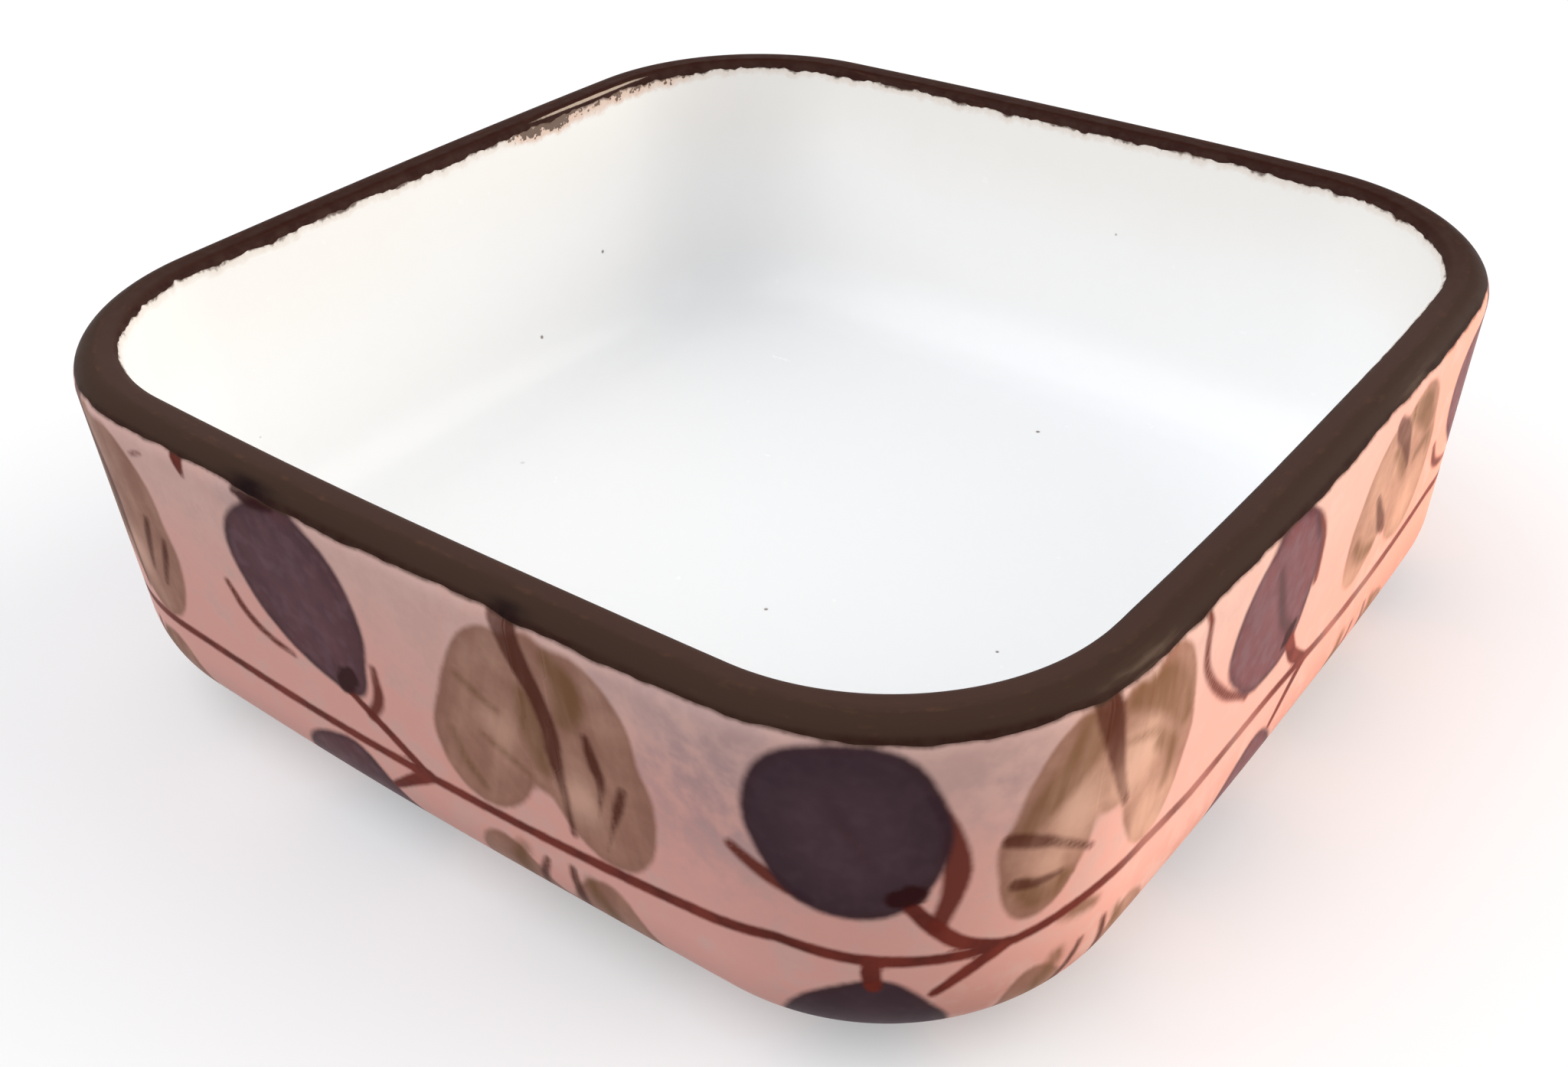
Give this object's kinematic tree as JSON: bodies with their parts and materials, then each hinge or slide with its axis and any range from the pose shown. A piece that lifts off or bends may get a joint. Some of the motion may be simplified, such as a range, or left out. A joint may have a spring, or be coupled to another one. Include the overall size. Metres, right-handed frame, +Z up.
{
  "type": "serving dish",
  "caption": "Square earthenware serving dish with rounded corners, a thick brown-banded lip, a white-glazed well and a painted leaf border, standing on a low foot ring.",
  "frame": {"origin": "centre of the footprint, on the surface that the foot ring stands on", "axes": "+Z up through the open mouth; +X and +Y square to two neighbouring sides"},
  "size_m": [0.2, 0.2, 0.067],
  "materials": {
    "clay": "fired clay, unglazed",
    "bare_foot": "fired clay, unglazed and worn smooth",
    "white_glaze": "gloss white tin glaze",
    "brown_glaze": "gloss dark brown iron glaze",
    "pink_glaze": "satin pink glaze with a brush-painted leaf border",
    "base_glaze": "thin satin glaze"
  },
  "bodies": {
    "root": {"clay_body": "clay", "foot_ring": "bare_foot", "liner_glaze": "white_glaze", "rim_glaze": "brown_glaze", "outer_glaze": "pink_glaze", "base_glaze": "base_glaze"}
  },
  "joints": []
}
